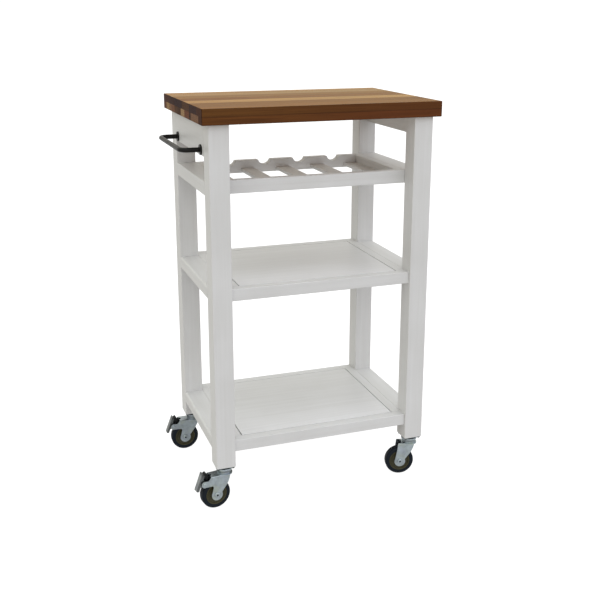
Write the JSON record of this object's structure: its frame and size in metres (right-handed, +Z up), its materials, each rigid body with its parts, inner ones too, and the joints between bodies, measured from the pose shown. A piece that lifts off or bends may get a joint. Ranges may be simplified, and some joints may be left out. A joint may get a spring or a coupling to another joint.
{
  "type": "kitchen cart",
  "caption": "Rolling kitchen cart: thick wooden worktop, painted frame with bottle rack and shelves, side handle and swivel casters with brakes.",
  "frame": {"origin": "on the floor, below the centre of the box round the whole cart as it stands in the picture, its left casters trailing past the handle", "axes": "+Z up, +X to the right of someone facing the front, front towards -Y, the handle on the -X side"},
  "size_m": [0.5818, 0.385, 0.918],
  "materials": {
    "worktop_wood": "oiled edge-glued hardwood staves, satin",
    "white_paint": "white painted timber, satin",
    "black_enamel": "black, satin",
    "tyre": "black, matt",
    "wheel_core": "dark olive brown",
    "black_plastic": "black",
    "zinc": "bright zinc plated",
    "steel": "zinc plated",
    "bare_wood": "bare beech"
  },
  "bodies": {
    "cart": {"back_left_caster_plate": "zinc", "back_left_leg": "white_paint", "back_right_caster_plate": "zinc", "back_right_leg": "white_paint", "bottom_shelf_back_rail": "white_paint", "bottom_shelf_front_rail": "white_paint", "bottom_shelf_panel": "white_paint", "bottom_shelf_stiles": "white_paint", "caster_balls": "steel", "caster_kingpins": "steel", "caster_plate_screws": "steel", "frame_dowels": "bare_wood", "front_left_caster_plate": "zinc", "front_left_leg": "white_paint", "front_right_caster_plate": "zinc", "front_right_leg": "white_paint", "handle_bar": "black_enamel", "handle_flanges": "black_enamel", "handle_screws": "steel", "left_bottom_rail": "white_paint", "left_handle_rail": "white_paint", "left_mid_rail": "white_paint", "left_rack_rail": "white_paint", "mid_shelf_back_rail": "white_paint", "mid_shelf_front_rail": "white_paint", "mid_shelf_panel": "white_paint", "mid_shelf_stiles": "white_paint", "rack_back_rail": "white_paint", "rack_front_rail": "white_paint", "rack_side_pieces": "white_paint", "rack_slats": "white_paint", "right_bottom_rail": "white_paint", "right_mid_rail": "white_paint", "right_rack_rail": "white_paint", "right_top_rail": "white_paint", "shelf_screws": "steel", "worktop": "worktop_wood", "worktop_screws": "steel"},
    "front_left_swivel": {"front_left_caster_fork": "zinc", "front_left_axle": "zinc", "front_left_brake_pin": "zinc"},
    "front_left_wheel": {"front_left_wheel_core": "wheel_core", "front_left_tyre": "tyre"},
    "front_left_brake": {"front_left_brake_lever": "zinc", "front_left_brake_tab": "black_plastic"},
    "front_right_swivel": {"front_right_caster_fork": "zinc", "front_right_axle": "zinc"},
    "front_right_wheel": {"front_right_wheel_core": "wheel_core", "front_right_tyre": "tyre"},
    "back_left_swivel": {"back_left_caster_fork": "zinc", "back_left_axle": "zinc", "back_left_brake_pin": "zinc"},
    "back_left_wheel": {"back_left_wheel_core": "wheel_core", "back_left_tyre": "tyre"},
    "back_left_brake": {"back_left_brake_lever": "zinc", "back_left_brake_tab": "black_plastic"},
    "back_right_swivel": {"back_right_caster_fork": "zinc", "back_right_axle": "zinc"},
    "back_right_wheel": {"back_right_wheel_core": "wheel_core", "back_right_tyre": "tyre"}
  },
  "joints": [
    {"name": "front_left_swivel_turn", "type": "hinge", "parent": "cart", "child": "front_left_swivel", "pos_m": [-0.21913, -0.1585, 0.0965], "axis": [0, 0, 1], "continuous": true},
    {"name": "front_left_wheel_roll", "type": "hinge", "parent": "front_left_swivel", "child": "front_left_wheel", "pos_m": [-0.24283, -0.16225, 0.035], "axis": [-0.1564, 0.9877, 0], "continuous": true},
    {"name": "front_left_brake_press", "type": "hinge", "parent": "front_left_swivel", "child": "front_left_brake", "pos_m": [-0.27197, -0.16687, 0.0675], "axis": [0.1564, -0.9877, 0], "range_deg": [0, 18]},
    {"name": "front_right_swivel_turn", "type": "hinge", "parent": "cart", "child": "front_right_swivel", "pos_m": [0.25287, -0.1585, 0.0965], "axis": [0, 0, 1], "continuous": true},
    {"name": "front_right_wheel_roll", "type": "hinge", "parent": "front_right_swivel", "child": "front_right_wheel", "pos_m": [0.22948, -0.1531, 0.035], "axis": [0.225, 0.9744, 0], "continuous": true},
    {"name": "back_left_swivel_turn", "type": "hinge", "parent": "cart", "child": "back_left_swivel", "pos_m": [-0.21913, 0.1585, 0.0965], "axis": [0, 0, 1], "continuous": true},
    {"name": "back_left_wheel_roll", "type": "hinge", "parent": "back_left_swivel", "child": "back_left_wheel", "pos_m": [-0.24313, 0.1585, 0.035], "axis": [0, 1, 0], "continuous": true},
    {"name": "back_left_brake_press", "type": "hinge", "parent": "back_left_swivel", "child": "back_left_brake", "pos_m": [-0.27263, 0.1585, 0.0675], "axis": [0, -1, 0], "range_deg": [0, 18]},
    {"name": "back_right_swivel_turn", "type": "hinge", "parent": "cart", "child": "back_right_swivel", "pos_m": [0.25287, 0.1585, 0.0965], "axis": [0, 0, 1], "continuous": true},
    {"name": "back_right_wheel_roll", "type": "hinge", "parent": "back_right_swivel", "child": "back_right_wheel", "pos_m": [0.22893, 0.16017, 0.035], "axis": [0.0698, 0.9976, 0], "continuous": true}
  ]
}
